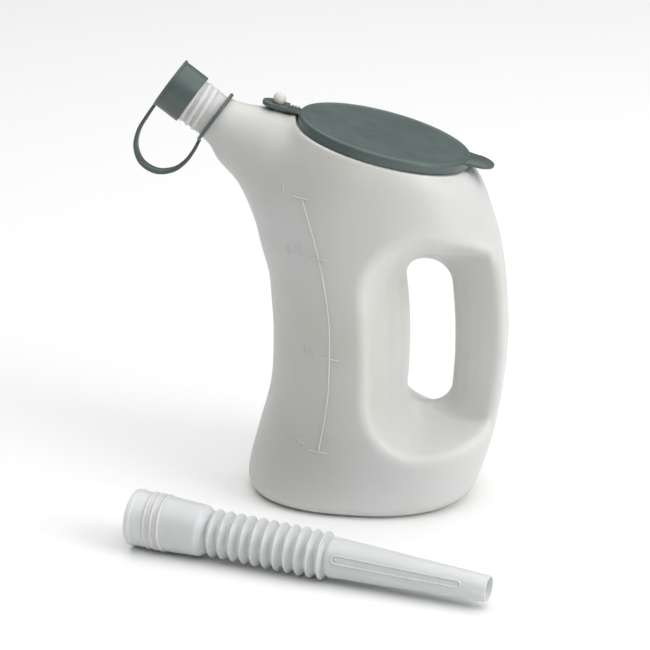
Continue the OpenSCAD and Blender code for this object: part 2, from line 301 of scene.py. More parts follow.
def skin(name, rings, place=None, angle=40):
    """A closed solid through a list of rings, with its two ends filled."""
    rings = np.asarray(rings, float)
    count, sides = rings.shape[:2]
    faces = ring_faces(count, sides, False)
    faces.append(list(range(sides))[::-1])
    faces.append([(count - 1) * sides + k for k in range(sides)])
    return weld(new_piece(name, rings.reshape(-1, 3), faces, place), angle)


def left_of(tangents):
    """Unit vectors a quarter turn to the left of each tangent."""
    tangents = tangents / np.linalg.norm(tangents, axis=1)[:, None]
    return np.stack([-tangents[:, 1], tangents[:, 0]], 1)


def inwards(outline):
    """Unit vectors into a closed, counter-clockwise outline."""
    return left_of(np.roll(outline, -1, 0) - np.roll(outline, 1, 0))


def inset_outline(outline, distance):
    """A closed outline, counter-clockwise, moved inwards."""
    outline = np.asarray(outline, float)
    return outline + distance * inwards(outline)


def slab(name, outline, low, high, edge, place, hole=None):
    """A flat plate with rounded edges, from an outline in X and Y, and a hole outline."""
    hole_share = 0.4
    bend = edge * 0.3
    turns = [(edge, low), (bend, low + bend), (0, low + edge)]
    turns += [(0, high - edge), (bend, high - bend), (edge, high)]
    shapes = [(outline, 1)] if hole is None else [(outline, 1), (hole, -hole_share)]
    bm = bmesh.new()
    ends = []
    for shape, way in shapes:
        loops = []
        for inset, z in turns:
            ring = inset_outline(shape, inset * way)
            loops.append([bm.verts.new((p[0], p[1], z)) for p in ring])
        for a, b in zip(loops, loops[1:]):
            for k in range(len(a)):
                bm.faces.new((a[k - 1], a[k], b[k], b[k - 1]))
        ends.append((loops[0], loops[-1]))
    for which in (0, 1):
        edges = []
        for pair in ends:
            loop = pair[which]
            edges += [bm.edges.get((loop[k - 1], loop[k])) for k in range(len(loop))]
        bmesh.ops.triangle_fill(bm, use_beauty=True, edges=edges)
    bmesh.ops.recalc_face_normals(bm, faces=bm.faces)
    bm.transform(Matrix.Scale(MM, 4) @ place)
    mesh = bpy.data.meshes.new(name)
    bm.to_mesh(mesh)
    bm.free()
    mesh.shade_smooth()
    mesh.set_sharp_from_angle(angle=math.radians(45))
    return add_object(name, mesh)


def arc(cx, cy, r, start, end, steps):
    """Points on an arc between two angles in degrees."""
    t = np.radians(np.linspace(start, end, steps))
    return [(cx + r * math.cos(a), cy + r * math.sin(a)) for a in t]


# ---- the blown jug: one closed surface from a field of distances ----


def slice_index(table, x, z):
    """Index of the slice whose line passes through each point, by halving."""
    halvings = 26
    low = np.zeros(x.shape)
    high = np.full(x.shape, len(table) - 1.0)
    for _ in range(halvings):
        mid = (low + high) / 2
        r = rows_at(table, mid)
        above = (r[..., 2] - r[..., 0]) * (z - r[..., 1]) > (
            r[..., 3] - r[..., 1]
        ) * (x - r[..., 0])
        low, high = np.where(above, mid, low), np.where(above, high, mid)
    return (low + high) / 2


def to_distance(value, step):
    """A function that is zero on a surface, scaled by its slope to be a distance."""
    farthest = 40
    slopes = np.gradient(value, step)
    steep = np.sqrt(sum(g * g for g in slopes))
    return np.clip(value / np.maximum(steep, 1e-4), -farthest, farthest).astype(np.float32)


def oval_loft(table, squareness, x, y, z, step):
    """Distance to the loft through oval slices that stand across the XZ plane."""
    r = rows_at(table, slice_index(table, x, z))
    half_x, half_z = (r[..., 2] - r[..., 0]) / 2, (r[..., 3] - r[..., 1]) / 2
    from_x, from_z = x - (r[..., 0] + r[..., 2]) / 2, z - (r[..., 1] + r[..., 3]) / 2
    across = (from_x * half_x + from_z * half_z) / (half_x**2 + half_z**2)
    share = np.abs(across)[:, None, :] ** squareness
    share = share + np.abs(y[None, :, None] / r[..., 4][:, None, :]) ** squareness
    return to_distance(share ** (1 / squareness) - 1, step)


def grip_field(x, y, z, step):
    """Distance to the space of the finger hole and the hollows on its two sides."""
    away = np.abs(y)
    x0, x1, z0, z1, r = (
        np.interp(away, GRIP_ROWS[:, 0], GRIP_ROWS[:, k])[None, :, None]
        for k in range(1, 6)
    )
    mid_z = (z0 + z1) / 2
    bow_end = 1.3
    q = np.clip((z[:, None, :] - mid_z) / (z1 - mid_z), -bow_end, bow_end)
    shifted = x[:, None, :] + GRIP_BOW * q * q + GRIP_LEAN * (z[:, None, :] - GRIP_MID_Z)
    dx = np.abs(shifted - (x0 + x1) / 2) - (x1 - x0) / 2 + r
    dz = np.abs(z[:, None, :] - mid_z) - (z1 - z0) / 2 + r
    outside = np.hypot(np.maximum(dx, 0), np.maximum(dz, 0))
    return to_distance(outside + np.minimum(np.maximum(dx, dz), 0) - r, step)


def smooth_min(a, b, k):
    """Two solids joined, with a fillet of width k between them."""
    h = np.maximum(k - np.abs(a - b), 0) / k
    return np.minimum(a, b) - h * h * k / 4


def smooth_max(a, b, k):
    """The overlap of two solids, with the edge between them eased over width k."""
    return -smooth_min(-a, -b, k)


def round_max(a, b, r):
    """The overlap of two solids with the edge between them rounded to radius r."""
    a, b = a + r, b + r
    return np.minimum(np.maximum(a, b), 0) + np.hypot(np.maximum(a, 0), np.maximum(b, 0)) - r


def oval_distance(u, y, a, b):
    """About the distance to an oval tube of half axes a and b."""
    rho = np.maximum(np.hypot(u / a, y / b), 1e-3)
    return (rho - 1) * rho / np.maximum(np.hypot(u / a**2, y / b**2), 1e-4)


# Space that holds the jug: lowest and highest x, half width, highest z
JUG_REACH = (-102, 77, 46, 220)
# Widths of the blends between the jug's parts
HORN_BLEND, NECK_BLEND, GRIP_BLEND = 6, 2.5, 5
LEDGE_BLEND, COLLAR_BLEND, EDGE_BLEND = 1.2, 1, 0.6
# Height where the jug's top is trimmed before the lid's ledge is cut, and the collar's foot
TOP_TRIM = SHOULDER_H + 0.4
COLLAR_FOOT = SHOULDER_H - 1.5
# Where the horn ends, along the neck's axis
HORN_END = -1.5


def outer_shape(x, ys, z, step, measures):
    """Distance to the jug, horn and neck as one solid, with the grip cut out of it."""
    h, along, radial = measures
    z3 = z[:, None, :]
    jug = oval_loft(JUG_SLICES, JUG_SQUARENESS, x, ys, z, step)
    jug = round_max(jug, -z3, BASE_ROUND)
    jug = np.maximum(jug, h - TOP_TRIM)

    horn = oval_loft(HORN_SLICES, HORN_SQUARENESS, x, ys, z, step)
    near, far = np.array(HORN_SLICES[0][:2]), np.array(HORN_SLICES[0][2:4])
    first = (far - near) / np.linalg.norm(far - near)
    behind = (x[:, None, :] - near[0]) * first[1] - (z3 - near[1]) * first[0]
    horn = np.maximum(np.maximum(horn, along - HORN_END), behind)
    neck = np.maximum(np.maximum(radial - NECK_R, along - NECK_END), NECK_START - along)

    shape = smooth_min(jug, smooth_min(horn, neck, NECK_BLEND), HORN_BLEND)
    return smooth_max(shape, -grip_field(x, ys, z, step), GRIP_BLEND)


def jug_field(step):
    """Distances on a grid, negative inside the plastic; and the grid's lowest corner."""
    pad = 3 * step
    x_low, x_high, y_high, z_high = JUG_REACH
    xs = np.arange(x_low - pad, x_high + pad, step)
    zs = np.arange(-pad, z_high + pad, step)
    ys = (np.arange(int(y_high / step) + 4) - 0.5) * step
    x, z = np.meshgrid(xs, zs, indexing="ij")
    x3, y3, z3 = x[:, None, :], ys[None, :, None], z[:, None, :]

    # Along and out of the lid's plane, and along and away from the neck's axis
    u = (x3 - LID_AT[0]) * math.cos(LID_TILT) - (z3 - LID_AT[2]) * math.sin(LID_TILT)
    h = (x3 - LID_AT[0]) * math.sin(LID_TILT) + (z3 - LID_AT[2]) * math.cos(LID_TILT)
    along = (x3 - NECK_AT[0]) * NECK_Z[0] + (z3 - NECK_AT[2]) * NECK_Z[2]
    spread = (x3 - NECK_AT[0]) ** 2 + y3**2 + (z3 - NECK_AT[2]) ** 2
    radial = np.sqrt(np.maximum(spread - along**2, 0))

    shape = outer_shape(x, ys, z, step, (h, along, radial))
    under_lid = np.maximum(
        oval_distance(u, y3, LID_A + LID_CLEAR, LID_B + LID_CLEAR), SHOULDER_H - h
    )
    outer = smooth_max(shape, -under_lid, LEDGE_BLEND)
    collar = np.maximum(oval_distance(u - RIM_SHIFT, y3, RIM_A, RIM_B), h - RIM_TOP)
    outer = smooth_min(outer, np.maximum(collar, COLLAR_FOOT - h), COLLAR_BLEND)

    inner = np.maximum(shape + WALL, -(under_lid - WALL))
    bore = np.maximum(
        oval_distance(u - RIM_SHIFT, y3, RIM_A - WALL, RIM_B - WALL), -MOUTH_DEPTH - h
    )
    inner = smooth_min(inner, bore, COLLAR_BLEND)
    inner = np.minimum(inner, np.maximum(radial - NECK_BORE_R, BORE_START - along))
    wall = smooth_max(outer, -inner, EDGE_BLEND).astype(np.float32)[:, 1:]
    both = np.concatenate([wall[:, ::-1], wall], 1)
    return both, np.array([xs[0], -ys[-1], zs[0]])


def surface_nets(field):
    """Points, in grid steps, and quads of the surface where the field is zero."""
    inside = field < 0
    strides = np.array([field.shape[1] * field.shape[2], field.shape[2], 1])
    cells, points, quads = [], [], []
    for axis in range(3):
        lower = tuple(slice(0, -1) if k == axis else slice(None) for k in range(3))
        upper = tuple(slice(1, None) if k == axis else slice(None) for k in range(3))
        at = np.argwhere(inside[lower] != inside[upper])
        a = field[lower][tuple(at.T)]
        b = field[upper][tuple(at.T)]
        point = at.astype(float)
        point[:, axis] += a / (a - b)
        base = at @ strides
        u, v = strides[(axis + 1) % 3], strides[(axis + 2) % 3]
        quad = np.stack([base, base - u, base - u - v, base - v], 1)
        quads.append(np.where((a < 0)[:, None], quad, quad[:, ::-1]))
        cells.append(quad.ravel())
        points.append(np.repeat(point, 4, 0))
    cells, points, quads = np.concatenate(cells), np.concatenate(points), np.concatenate(quads)
    names, index = np.unique(cells, return_inverse=True)
    count = np.bincount(index)
    middle = np.stack([np.bincount(index, points[:, k]) / count for k in range(3)], 1)
    return middle, np.searchsorted(names, quads)


def sampled(field, points):
    """The field between its grid points."""
    points = np.clip(points, 0, np.array(field.shape) - 1.001)
    i = points.astype(int)
    f = points - i
    total = np.zeros(len(points))
    for corner in range(8):
        bit = np.array([corner & 1, corner >> 1 & 1, corner >> 2 & 1])
        share = np.prod(np.where(bit, f, 1 - f), 1)
        total += share * field[tuple((i + bit).T)]
    return total


def settled(points, field, rounds=3, reach=0.35):
    """Points moved along the slope onto the surface where the field is zero."""
    for _ in range(rounds):
        slope = np.stack(
            [
                sampled(field, points + 0.5 * e) - sampled(field, points - 0.5 * e)
                for e in np.eye(3)
            ],
            1,
        )
        square = np.maximum((slope**2).sum(1), 1e-3)
        move = slope * (-sampled(field, points) / square)[:, None]
        size = np.linalg.norm(move, axis=1)
        move *= (np.minimum(size, reach) / np.maximum(size, 1e-9))[:, None]
        points = points + move
    return points


def make_jug():
    """Body, shoulder and neck of the jug as the one hollow moulding that they are."""
    step = 0.9
    field, corner = jug_field(step)
    points, quads = surface_nets(field)
    points = settled(points, field) * step + corner
    return coat(new_piece("jug_moulding", points, quads), natural_hdpe())


# ---- raised marks on the jug ----

# Strokes of the digits on a grid 2 wide and 4 high
DIGITS = {
    "0": [[(0, 1), (0, 3), (0.5, 4), (1.5, 4), (2, 3), (2, 1), (1.5, 0), (0.5, 0), (0, 1)]],
    "1": [[(0.4, 3.2), (1.2, 4), (1.2, 0)]],
    "2": [[(0, 3.2), (0.5, 4), (1.5, 4), (2, 3.2), (1.9, 2.3), (0, 0), (2, 0)]],
    "5": [[(2, 4), (0.3, 4), (0.1, 2.2), (1.2, 2.5), (2, 1.7), (1.8, 0.5), (1, 0), (0, 0.4)]],
    "7": [[(0, 4), (2, 4), (0.8, 0)]],
    ".": [[(0.4, 0), (0.4, 0.35)]],
    "L": [[(0.2, 4), (0.2, 0), (1.8, 0)]],
}
LABELS = [
    ("1L", -36.6, 164.2),
    ("0.75", -31.4, 134.8),
    ("0.5", -23.6, 83.8),
    ("0.25", -31.2, 34.6),
]
DIGIT_H = 4.6
DIGIT_GAP = 0.9
DIGIT_NARROWING = 0.8
LABEL_SLOPE = -0.06
# Half-round section of a raised line: across and up, as shares of its half width and height
RAISED_SECTION = [
    (-1, -0.35),
    (-0.85, 0.3),
    (-0.45, 0.85),
    (0, 1),
    (0.45, 0.85),
    (0.85, 0.3),
    (1, -0.35),
]
LINE_WIDTH, CURVE_PROUD, TICK_PROUD, TICK_DROP = 0.85, 0.38, 0.42, 0.5
DIGIT_WIDTH, DIGIT_PROUD = 0.6, 0.25
# A place in front of the jug, from which its -Y side is looked for
FRONT_Y = -90.0


def label_strokes():
    """The numerals' strokes as lists of (x, z)."""
    rise = DIGIT_H / 4
    run = rise * DIGIT_NARROWING
    for text, x, z in LABELS:
        for letter in text:
            for stroke in DIGITS[letter]:
                yield [
                    (x + px * run, z + pz * rise + LABEL_SLOPE * (x + px)) for px, pz in stroke
                ]
            width = 0.8 if letter == "." else 2.0
            x += width * run + DIGIT_GAP


def resampled(line, gap):
    """A line's points again, about one gap apart."""
    line = np.array(line, float)
    length = np.concatenate([[0], np.cumsum(np.linalg.norm(np.diff(line, axis=0), axis=1))])
    count = max(int(length[-1] / gap), 2) + 1
    at = np.linspace(0, length[-1], count)
    return np.stack([np.interp(at, length, line[:, k]) for k in range(2)], 1)


def raised_line(tree, line, width, proud, points, faces):
    """Adds a half-round bead along a line on the jug's -Y side."""
    gap, end_share = 0.7, 0.35
    line = resampled(line, gap)
    across = left_of(np.gradient(line, axis=0))
    last = len(line) - 1
    start = len(points)
    for k, (p, side) in enumerate(zip(line, across)):
        end = end_share if k in (0, last) else 1.0
        for shift, lift in RAISED_SECTION:
            q = p + side * shift * width / 2 * end
            start_at = Vector((q[0], FRONT_Y, q[1])) * MM
            hit, normal, *_ = tree.ray_cast(start_at, Vector((0, 1, 0)))
            top = hit / MM + normal * proud * (lift if lift < 0 else lift * end)
            points.append(tuple(top))
    n = len(RAISED_SECTION)
    for k in range(last):
        for j in range(n - 1):
            a = start + k * n + j
            faces.append((a, a + n, a + n + 1, a + 1))
        a = start + k * n
        faces.append((a, a + n - 1, a + 2 * n - 1, a + n))
    faces.append(tuple(start + j for j in range(n)))
    faces.append(tuple(start + last * n + j for j in range(n))[::-1])


def make_graduation(jug):
    """The raised scale on the jug's front: a curved line, its ticks and their numerals."""
    tree = BVHTree.FromObject(jug, bpy.context.evaluated_depsgraph_get())
    curve = rows_at(SCALE_CURVE, np.linspace(0, len(SCALE_CURVE) - 1, 80))
    points, faces = [], []
    raised_line(tree, curve, LINE_WIDTH, CURVE_PROUD, points, faces)
    for x0, x1, z in SCALE_TICKS:
        tick = [(x0, z), (x1, z - TICK_DROP)]
        raised_line(tree, tick, LINE_WIDTH, TICK_PROUD, points, faces)
    for stroke in label_strokes():
        raised_line(tree, stroke, DIGIT_WIDTH, DIGIT_PROUD, points, faces)
    return coat(weld(new_piece("graduation", points, faces)), pale_marks_and_painted_highlight())


# ---- neck thread and stud ----


def helix_bead(name, place, base_r, crest, half, pitch, first, turns):
    """A bead wound round a tube of radius base_r, fading out at both ends."""
    sides, ease = 72, 14
    steps = int(sides * turns)
    rings = []
    for k in range(steps + 1):
        t = 2 * math.pi * turns * k / steps
        fade = min(1.0, k / ease, (steps - k) / ease) ** 0.5
        along = first + pitch * t / (2 * math.pi)
        top = base_r + (crest - base_r) * fade
        wide = half * (0.4 + 0.6 * fade)
        section = [(base_r - 0.5, wide), (base_r, wide * 0.9), (top - 0.12, wide * 0.5)]
        section += [(top, wide * 0.2), (top, -wide * 0.2), (top - 0.12, -wide * 0.5)]
        section += [(base_r, -wide * 0.9), (base_r - 0.5, -wide)]
        rings.append([(r * math.cos(t), r * math.sin(t), along + z) for r, z in section])
    return skin(name, rings, place, 60)


def make_thread():
    """The helical bead that the cap and the loose spout screw onto."""
    first, turns = 3.6, 4.4
    thread = helix_bead(
        "neck_thread", NECK, NECK_R, THREAD_CREST, THREAD_HALF, THREAD_PITCH, first, turns
    )
    return coat(thread, pale_marks_and_painted_highlight())


def make_stud():
    """The ball that the lid's strap buttons onto, with the flat that its mould leaves."""
    r, foot = STUD_STEM_R, -7.5
    profile = [(0, foot), (r + 0.9, foot), (r + 0.25, -6.2), (r, -5), (r, STUD_BALL_H - 2.45)]
    profile += arc(0, STUD_BALL_H, STUD_BALL_R, -48, 84, 22)
    profile.append((0, STUD_BALL_H + STUD_BALL_R * 0.985))
    place = LID @ Matrix.Translation((STUD_U, 0, 0))
    return coat(lathe("lid_stud_ball", profile, place, 64, 50), natural_hdpe())


# ---- lid moulding ----


def make_lid():
    """The oval lid: rounded rim, shallow recess and hollow skirt."""
    t = np.linspace(0, 2 * math.pi, 160, endpoint=False)
    inside_top, recess, side = -1.8, 2.75, 1.3
    edge = [
        (1.1, -SKIRT_H + 0.02),
        (0.35, -SKIRT_H),
        (0.05, -SKIRT_H + 0.3),
        (0, -SKIRT_H + 0.8),
        (0, -1.7),
        (0.12, -1.1),
        (0.42, -0.6),
        (0.85, -0.22),
        (1.35, -0.04),
        (1.8, 0),
        (2.2, -0.05),
        (2.5, -0.22),
        (recess, -0.34),
    ]
    rings = [(LID_A - d, LID_B - d, h) for d, h in edge]
    for share in (0.97, 0.85, 0.7, 0.5, 0.3, 0.12, 0.0):
        crown = -0.36 + 0.3 * (1 - share**2)
        rings.append(((LID_A - recess) * share, (LID_B - recess) * share, crown))
    for share in (0.0, 0.3, 0.7, 0.95):
        rings.append(((LID_A - 1.9) * share, (LID_B - 1.9) * share, inside_top))
    rings.append((LID_A - side - 0.2, LID_B - side - 0.2, inside_top - 0.15))
    rings.append((LID_A - side, LID_B - side, inside_top - 0.6))
    rings.append((LID_A - side, LID_B - side, -SKIRT_H + 0.5))
    points = [(a * math.cos(k), b * math.sin(k), h) for a, b, h in rings for k in t]
    lid = new_piece("lid_oval", points, ring_faces(len(rings), len(t), True), LID)
    return coat(weld(lid, 50), dark_polyethylene())


def make_tab():
    """The rounded tongue that a thumb lifts."""
    root, flare, count = LID_A - 5.5, TAB_HALF + 1.2, 22
    low, high, edge = -2.3, -0.75, 0.45
    front = arc(TAB_CENTRE, 0, TAB_HALF, -68, 68, count)
    outline = rounded([(root, -flare), *front, (root, flare)], [0] + [0.5] * count + [0], 1)
    return coat(slab("lid_thumb_tab", outline, low, high, edge, LID), dark_polyethylene())


def make_tab_edge():
    """The fine raised line along the tab's edge."""
    line_r, bead_r, height = TAB_HALF - 1.0, 0.32, -0.8
    rings = []
    for x, y in arc(TAB_CENTRE, 0, line_r, -80, 80, 40):
        out = np.array([x - TAB_CENTRE, y]) / line_r
        ring = []
        for t in np.radians(np.arange(0, 360, 45)):
            r = bead_r * math.cos(t)
            ring.append((x + out[0] * r, y + out[1] * r, height + bead_r * math.sin(t)))
        rings.append(ring)
    return coat(skin("lid_tab_edge", rings, LID, 70), dark_polyethylene())


def make_gate():
    """The mark where the lid's mould was filled."""
    profile = rounded([(0, -0.6), (1.1, -0.6), (0.95, 0.2), (0.5, 0.3), (0, 0.05)], 0.1, 2)
    place = LID @ Matrix.Translation((1.5, 0, 0))
    return coat(lathe("lid_gate_mark", profile, place, 32, 50), dark_polyethylene())


def make_strap():
    """The strap's flat end with its buttonhole, which stays on the stud."""
    centre = STRAP_END + STRAP_HALF
    outline = [(STRAP_NEAR, -STRAP_HALF), (STRAP_NEAR, STRAP_HALF)]
    outline = rounded(outline + arc(centre, 0, STRAP_HALF, 90, 270, 28), 0.4, 2)
    hole = arc(STUD_U, 0, STRAP_HOLE_R, 0, 348.75, 32)
    low = STRAP_TOP - STRAP_T
    return coat(slab("lid_strap_end", outline, low, STRAP_TOP, 0.4, LID, hole), dark_polyethylene())


def make_film_hinge():
    """The ribbed web between the strap and the lid, which is the lid's hinge; here it is one fixed
    shape.
    """
    rib_places, rib_half, bevel = (1.3, 2.85, 4.4), 0.42, 0.2
    half, low = WEB_HALF, WEB_LOW
    length = -LID_A - STRAP_NEAR + 1.1
    rings = []
    for u in np.linspace(-0.5, length, 60):
        bump = max(math.exp(-(((u - c) / rib_half) ** 4)) for c in rib_places)
        top = low + WEB_T + WEB_RIB * bump
        section = [(-half, low + 0.15), (-half + bevel, low), (half - bevel, low)]
        section += [(half, low + 0.15), (half, top - bevel), (half - bevel, top)]
        section += [(-half + bevel, top), (-half, top - bevel)]
        rings.append([(STRAP_NEAR + u, y, h) for y, h in section])
    return coat(skin("lid_hinge_web", rings, LID, 50), dark_polyethylene())


# ---- cap, tether and ring ----


def make_cap():
    """The plain round cap, with a narrow flange around its closed end."""
    mouth, low = CAP_END - CAP_L, CAP_END - CAP_FLANGE
    bore_r = CAP_R - CAP_SIDE
    outline = [
        (0, CAP_END - 0.25),
        (CAP_R - 1.5, CAP_END - 0.25),
        (CAP_R - 1.2, CAP_END),
        (CAP_R + 0.5, CAP_END),
        (CAP_R + 0.5, low),
        (CAP_R - 0.1, low - 0.15),
        (CAP_R, low - 0.6),
        (CAP_R, mouth),
        (bore_r, mouth),
        (bore_r, CAP_END - CAP_TOP),
        (0, CAP_END - CAP_TOP),
    ]
    radii = [0, 0.2, 0.15, 0.45, 0.4, 0.15, 0.2, 0.35, 0.3, 0.4, 0]
    return coat(lathe("spout_cap_shell", rounded(outline, radii), NECK), dark_polyethylene())


def make_ring():
    """The loose ring around the neck that holds the tether."""
    half = RING_T / 2
    outline = [(RING_BORE_R, -half), (RING_R, -half), (RING_R, half), (RING_BORE_R, half)]
    ring = lathe("tether_ring_band", rounded(outline, 0.75, 5), NECK)
    return coat(ring, dark_polyethylene())


def make_tether():
    """The flat moulded strap that ties the cap to the ring."""
    squareness, near = 0.55, 0.02
    table = np.array(TETHER_ROWS, float)
    rings = []
    for s in np.linspace(0, len(table) - 1, 110):
        here, ahead, behind = (rows_at(table, v) for v in (s, s + near, s - near))
        along = np.array([ahead[0] - behind[0], ahead[1] - behind[1]])
        along /= np.linalg.norm(along)
        out = np.array([-along[1], along[0]])
        ring = []
        for t in np.linspace(0, 2 * math.pi, 20, endpoint=False):
            c, v = math.cos(t), math.sin(t)
            flat = math.copysign(abs(c) ** squareness, c) * here[3] / 2
            wide = math.copysign(abs(v) ** squareness, v) * here[2] / 2
            ring.append((here[0] + out[0] * flat, wide, here[1] + out[1] * flat))
        rings.append(ring)
    return coat(skin("cap_tether_strap", rings, None, 50), dark_polyethylene())


# ---- loose spout ----


def make_collar():
    """The socket that screws over the neck, thinned inside where its thread runs."""
    outside = [(SOCKET_R, 0), (13.9, 0), (14.1, 2.4), (13.6, 3.2), (13.5, 18)]
    outside += [(12.5, COLLAR_L - 4.5), (12.2, COLLAR_L - 3.6), (10.2, COLLAR_L - 0.9)]
    outside += [(GROOVE_R, COLLAR_L), (GROOVE_R - SPOUT_WALL, COLLAR_L)]
    inside = [(9.25, COLLAR_L - 1.5), (11.35, COLLAR_L - 4.5), (SOCKET_R, 24)]
    groove_r = SOCKET_R + 0.3
    for z in (15.6, 13.1, 10.6):
        inside += [(SOCKET_R, z + 0.9), (groove_r, z + 0.3)]
        inside += [(groove_r, z - 0.3), (SOCKET_R, z - 0.9)]
    radii = [0.4, 0.5, 0.5, 0.4, 2, 1.2, 1.2, 0.8, 0.2, 0.2, 0.6, 1.2, 2] + [0.3] * 12
    collar = lathe("spout_collar_shell", rounded(outside + inside, radii, 3), SPOUT, 144, 60)
    return coat(collar, clear_polyethylene())


def make_collar_thread():
    """The thread pressed through the collar's wall, which shows outside as a bead."""
    base_r, crest, half, first, turns = 13.45, 14.05, 1.1, 7.6, 3.1
    thread = helix_bead(
        "spout_collar_thread", SPOUT, base_r, crest, half, THREAD_PITCH, first, turns
    )
    return coat(thread, pale_marks_and_painted_highlight())


def make_bellows():
    """Eleven sharp ridges with V grooves between them; their crests get the pale material as a
    painted highlight.
    """
    half = RIDGE_PITCH / 2
    bore = GROOVE_R - SPOUT_WALL
    outer, inner = [(GROOVE_R, COLLAR_L)], [(bore, COLLAR_L)]
    for i in range(RIDGES):
        z = FIRST_RIDGE + i * RIDGE_PITCH
        outer += [(RIDGE_R, z - 0.34), (RIDGE_R, z + 0.34)]
        inner += [(RIDGE_R - SPOUT_WALL, z - 0.15), (RIDGE_R - SPOUT_WALL, z + 0.15)]
        if i < RIDGES - 1:
            outer += [(GROOVE_R, z + half - 0.2), (GROOVE_R, z + half + 0.2)]
            inner += [(bore, z + half - 0.5), (bore, z + half + 0.5)]
    outer += [(GROOVE_R, BELLOWS_END - 0.4), (GROOVE_R, BELLOWS_END)]
    inner.append((bore, BELLOWS_END))
    profile = rounded(outer + inner[::-1], 0.3, 3)
    bellows = lathe("spout_bellows_folds", profile, SPOUT, 144, 60)
    back = SPOUT.inverted()
    # Faces on the crests get the pale material: a painted highlight along each ridge.
    highlight_from = RIDGE_R - 0.12
    for face in bellows.data.polygons:
        centre = back @ (face.center / MM)
        if math.hypot(centre.x, centre.y) > highlight_from:
            face.material_index = 1
    return coat(bellows, clear_polyethylene(), pale_marks_and_painted_highlight())


def nozzle_radius(s):
    """The nozzle's outer radius, s along the spout."""
    start, wide = BELLOWS_END + 4, SHOULDER_R - 0.2
    return wide + (TIP_R - wide) * (s - start) / (SPOUT_L - start)


def make_nozzle():
    """The tapered tube, with a low shoulder at the bellows."""
    start = BELLOWS_END
    bore, wide_bore = GROOVE_R - SPOUT_WALL, 8.5
    outline = [(GROOVE_R, start), (SHOULDER_R - 0.1, start + 1.2), (SHOULDER_R, start + 2.4)]
    outline += [(SHOULDER_R - 0.2, start + 4), (TIP_R, SPOUT_L), (TIP_R - SPOUT_WALL, SPOUT_L)]
    outline += [(wide_bore, start + 4.4), (wide_bore, start + 2.6)]
    outline += [(bore, start + 0.6), (bore, start)]
    radii = [0.3, 0.8, 0.8, 0.8, 0.25, 0.2, 0.8, 0.8, 0.3, 0.2]
    nozzle = lathe("spout_nozzle_shell", rounded(outline, radii, 3), SPOUT, 144, 60)
    return coat(nozzle, clear_polyethylene())


# Where the rib lies around the spout, from the side that faces down
NOZZLE_RIB_TURN = math.radians(249)


def make_nozzle_rib():
    """The long raised outline along the nozzle's side."""
    first, last = BELLOWS_END + 4, BELLOWS_END + 67
    near, far = 2.0, 1.55
    half, proud = 0.5, 0.45
    line = [(first + near + x, y) for x, y in arc(0, 0, near, 90, 270, 15)]
    shares = np.linspace(0.08, 0.92, 24)
    sides = [(first + (last - first) * q, near + (far - near) * q) for q in shares]
    line += [(s, -w) for s, w in sides]
    line += [(last - far + x, y) for x, y in arc(0, 0, far, -90, 90, 15)]
    line += [(s, w) for s, w in sides[::-1]]
    line = np.array(line)
    points = []
    for p, side in zip(line, inwards(line)):
        for t in np.linspace(0, 2 * math.pi, 10, endpoint=False):
            s, w = p + side * half * math.cos(t)
            r = nozzle_radius(s) + proud * math.sin(t)
            angle = NOZZLE_RIB_TURN + w / nozzle_radius(s)
            points.append((r * math.cos(angle), r * math.sin(angle), s))
    rib = new_piece("spout_nozzle_rib", points, ring_faces(len(line), 10, True), SPOUT)
    return coat(weld(rib), pale_marks_and_painted_highlight())


def make_nozzle_dot():
    """The small pip inside the rib's first end."""
    s = BELLOWS_END + 6.3
    r = nozzle_radius(s)
    out = (r * math.cos(NOZZLE_RIB_TURN), r * math.sin(NOZZLE_RIB_TURN), s)
    place = SPOUT @ Matrix.Translation(out)
    place = place @ Matrix.Rotation(NOZZLE_RIB_TURN, 4, "Z") @ Matrix.Rotation(math.pi / 2, 4, "Y")
    profile = [(0, -0.5), (0.75, -0.5), (0.72, 0.05), (0.45, 0.38), (0, 0.48)]
    dot = lathe("spout_nozzle_pip", rounded(profile, [0, 0, 0.2, 0.2, 0], 2), place, 24, 70)
    return coat(dot, pale_marks_and_painted_highlight())


# ---- materials ----


def node_material(name, **sockets):
    """A Principled material with values for the sockets named; links may replace them."""
    material = bpy.data.materials.new(name)
    material.use_nodes = True
    tree = material.node_tree
    shader = tree.nodes["Principled BSDF"]
    for socket, value in sockets.items():
        shader.inputs[socket.replace("_", " ")].default_value = value
    return material, tree, shader


def noise(tree, scale, detail=3.0, roughness=0.5):
    """Noise fixed to the object; the scale is in lumps per metre."""
    where = tree.nodes.new("ShaderNodeTexCoord")
    texture = tree.nodes.new("ShaderNodeTexNoise")
    texture.inputs["Scale"].default_value = scale
    texture.inputs["Detail"].default_value = detail
    texture.inputs["Roughness"].default_value = roughness
    tree.links.new(where.outputs["Object"], texture.inputs["Vector"])
    return texture.outputs["Fac"]


# The part of its range that noise mostly keeps to
NOISE_LOW, NOISE_HIGH = 0.3, 0.7


def tint(tree, shader, source, first, last):
    """Base colour that runs from the first colour to the last over the noise."""
    node = tree.nodes.new("ShaderNodeValToRGB")
    stops = [(NOISE_LOW, first), (NOISE_HIGH, last)]
    for element, (position, colour) in zip(node.color_ramp.elements, stops):
        element.position = position
        element.color = (*colour, 1)
    tree.links.new(source, node.inputs["Fac"])
    tree.links.new(node.outputs["Color"], shader.inputs["Base Color"])


def vary_roughness(tree, shader, source, low, high):
    """Roughness that runs from low to high over the noise."""
    node = tree.nodes.new("ShaderNodeMapRange")
    node.inputs["From Min"].default_value = NOISE_LOW
    node.inputs["From Max"].default_value = NOISE_HIGH
    node.inputs["To Min"].default_value = low
    node.inputs["To Max"].default_value = high
    tree.links.new(source, node.inputs["Value"])
    tree.links.new(node.outputs["Result"], shader.inputs["Roughness"])


